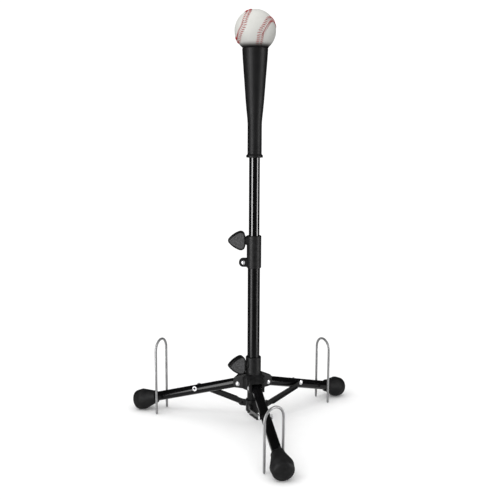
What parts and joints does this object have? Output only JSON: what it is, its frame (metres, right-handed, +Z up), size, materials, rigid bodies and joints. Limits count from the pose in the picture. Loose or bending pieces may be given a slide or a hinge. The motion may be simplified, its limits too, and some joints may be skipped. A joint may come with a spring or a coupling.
{
  "type": "batting tee",
  "caption": "Free-standing batting tee: telescopic black post with clamp knobs, folding tripod base, rubber ball holder, ball and ground pegs.",
  "frame": {"origin": "on the ground, on the axis of the post", "axes": "+Z up along the post; the front leg points along -Y; the other legs lie 120 degrees either side"},
  "size_m": [0.4284, 0.3763, 0.741],
  "materials": {
    "black_enamel": "gloss",
    "black_plastic": "satin",
    "grey_plastic": "matte",
    "black_rubber": "matte",
    "foot_rubber": "matte",
    "zinc": "satin",
    "peg_wire": "satin",
    "ball_leather": "satin",
    "ball_yarn": "matte",
    "ball_rubber": "matte"
  },
  "bodies": {
    "column": {"lower_tube": "black_enamel", "lower_tube_plug": "black_plastic", "bottom_bracket": "grey_plastic", "bracket_rivets": "black_enamel", "height_collar": "grey_plastic", "guide_ring": "black_plastic", "collar_pinch_screw": "zinc", "collar_pinch_nut": "zinc", "upper_clamp_nut": "zinc"},
    "upper_post": {"upper_tube": "black_enamel", "upper_tube_plug": "black_plastic", "ball_holder": "black_rubber"},
    "ball": {"ball_cover": "ball_leather", "ball_winding": "ball_yarn", "ball_core": "ball_rubber"},
    "crown": {"leg_crown": "grey_plastic", "crown_rivets": "zinc", "lower_clamp_nut": "zinc"},
    "upper_pad": {"upper_clamp_pad": "black_plastic"},
    "upper_turnknob": {"upper_knob": "grey_plastic", "upper_clamp_screw": "zinc"},
    "lower_pad": {"lower_clamp_pad": "black_plastic"},
    "lower_turnknob": {"lower_knob": "grey_plastic", "lower_clamp_screw": "zinc"},
    "leg_left": {"leg_left": "black_enamel", "foot_left": "foot_rubber", "strut_spacer_left": "black_plastic"},
    "strut_left": {"strut_left": "black_enamel", "strut_rivet_left": "zinc"},
    "peg_left": {"peg_left": "peg_wire"},
    "leg_right": {"leg_right": "black_enamel", "foot_right": "foot_rubber", "strut_spacer_right": "black_plastic"},
    "strut_right": {"strut_right": "black_enamel", "strut_rivet_right": "zinc"},
    "peg_right": {"peg_right": "peg_wire"},
    "leg_front": {"leg_front": "black_enamel", "foot_front": "foot_rubber", "strut_spacer_front": "black_plastic"},
    "strut_front": {"strut_front": "black_enamel", "strut_rivet_front": "zinc"},
    "peg_front": {"peg_front": "peg_wire"}
  },
  "joints": [
    {"name": "height_slide", "type": "slide", "parent": "column", "child": "upper_post", "axis": [0, 0, 1], "range_m": [-0.135, 0.1]},
    {"name": "ball_lift", "type": "slide", "parent": "upper_post", "child": "ball", "axis": [0, 0, 1], "range_m": [0, 0.12]},
    {"name": "strut_left_fold", "type": "hinge", "parent": "column", "child": "strut_left", "pos_m": [-0.02208, 0.01275, 0.03515], "axis": [0.5, 0.866, 0], "range_deg": [0, 65]},
    {"name": "leg_left_fold", "type": "hinge", "parent": "strut_left", "child": "leg_left", "pos_m": [-0.09778, 0.05646, 0.05658], "axis": [0.5, 0.866, 0], "range_deg": [-130, 0]},
    {"name": "strut_right_fold", "type": "hinge", "parent": "column", "child": "strut_right", "pos_m": [0.02208, 0.01275, 0.03515], "axis": [0.5, -0.866, 0], "range_deg": [0, 65]},
    {"name": "leg_right_fold", "type": "hinge", "parent": "strut_right", "child": "leg_right", "pos_m": [0.09778, 0.05646, 0.05658], "axis": [0.5, -0.866, 0], "range_deg": [-130, 0]},
    {"name": "strut_front_fold", "type": "hinge", "parent": "column", "child": "strut_front", "pos_m": [0, -0.0255, 0.03515], "axis": [-1, 0, 0], "range_deg": [0, 65]},
    {"name": "leg_front_fold", "type": "hinge", "parent": "strut_front", "child": "leg_front", "pos_m": [0, -0.11291, 0.05658], "axis": [-1, 0, 0], "range_deg": [-130, 0]},
    {"name": "crown_ride", "type": "hinge", "parent": "leg_left", "child": "crown", "pos_m": [-0.02208, 0.01275, 0.078], "axis": [0.5, 0.866, 0], "range_deg": [0, 65]},
    {"name": "upper_pad_press", "type": "slide", "parent": "column", "child": "upper_pad", "axis": [-0.9792, 0.2028, 0], "range_m": [0, 0.0005]},
    {"name": "upper_knob_turn", "type": "hinge", "parent": "upper_pad", "child": "upper_turnknob", "pos_m": [-0.02938, 0.00608, 0.3436], "axis": [-0.9792, 0.2028, 0], "range_deg": [0, 180]},
    {"name": "lower_pad_press", "type": "slide", "parent": "crown", "child": "lower_pad", "axis": [-0.9842, -0.1771, 0], "range_m": [0, 0.0005]},
    {"name": "lower_knob_turn", "type": "hinge", "parent": "lower_pad", "child": "lower_turnknob", "pos_m": [-0.02953, -0.00531, 0.1153], "axis": [-0.9842, -0.1771, 0], "range_deg": [0, 180]},
    {"name": "peg_left_pull", "type": "slide", "parent": "leg_left", "child": "peg_left", "axis": [0, 0, 1], "range_m": [0, 0.15]},
    {"name": "peg_right_pull", "type": "slide", "parent": "leg_right", "child": "peg_right", "axis": [0, 0, 1], "range_m": [0, 0.15]},
    {"name": "peg_front_pull", "type": "slide", "parent": "leg_front", "child": "peg_front", "axis": [0, 0, 1], "range_m": [0, 0.15]}
  ],
  "couplings": [
    {"joint": "leg_left_fold", "follows": "strut_left_fold", "ratio": -2},
    {"joint": "strut_right_fold", "follows": "strut_left_fold", "ratio": 1},
    {"joint": "leg_right_fold", "follows": "strut_left_fold", "ratio": -2},
    {"joint": "strut_front_fold", "follows": "strut_left_fold", "ratio": 1},
    {"joint": "leg_front_fold", "follows": "strut_left_fold", "ratio": -2},
    {"joint": "crown_ride", "follows": "strut_left_fold", "ratio": 1},
    {"joint": "upper_knob_turn", "follows": "upper_pad_press", "rad_per_m": 6283.2},
    {"joint": "lower_knob_turn", "follows": "lower_pad_press", "rad_per_m": 6283.2}
  ]
}
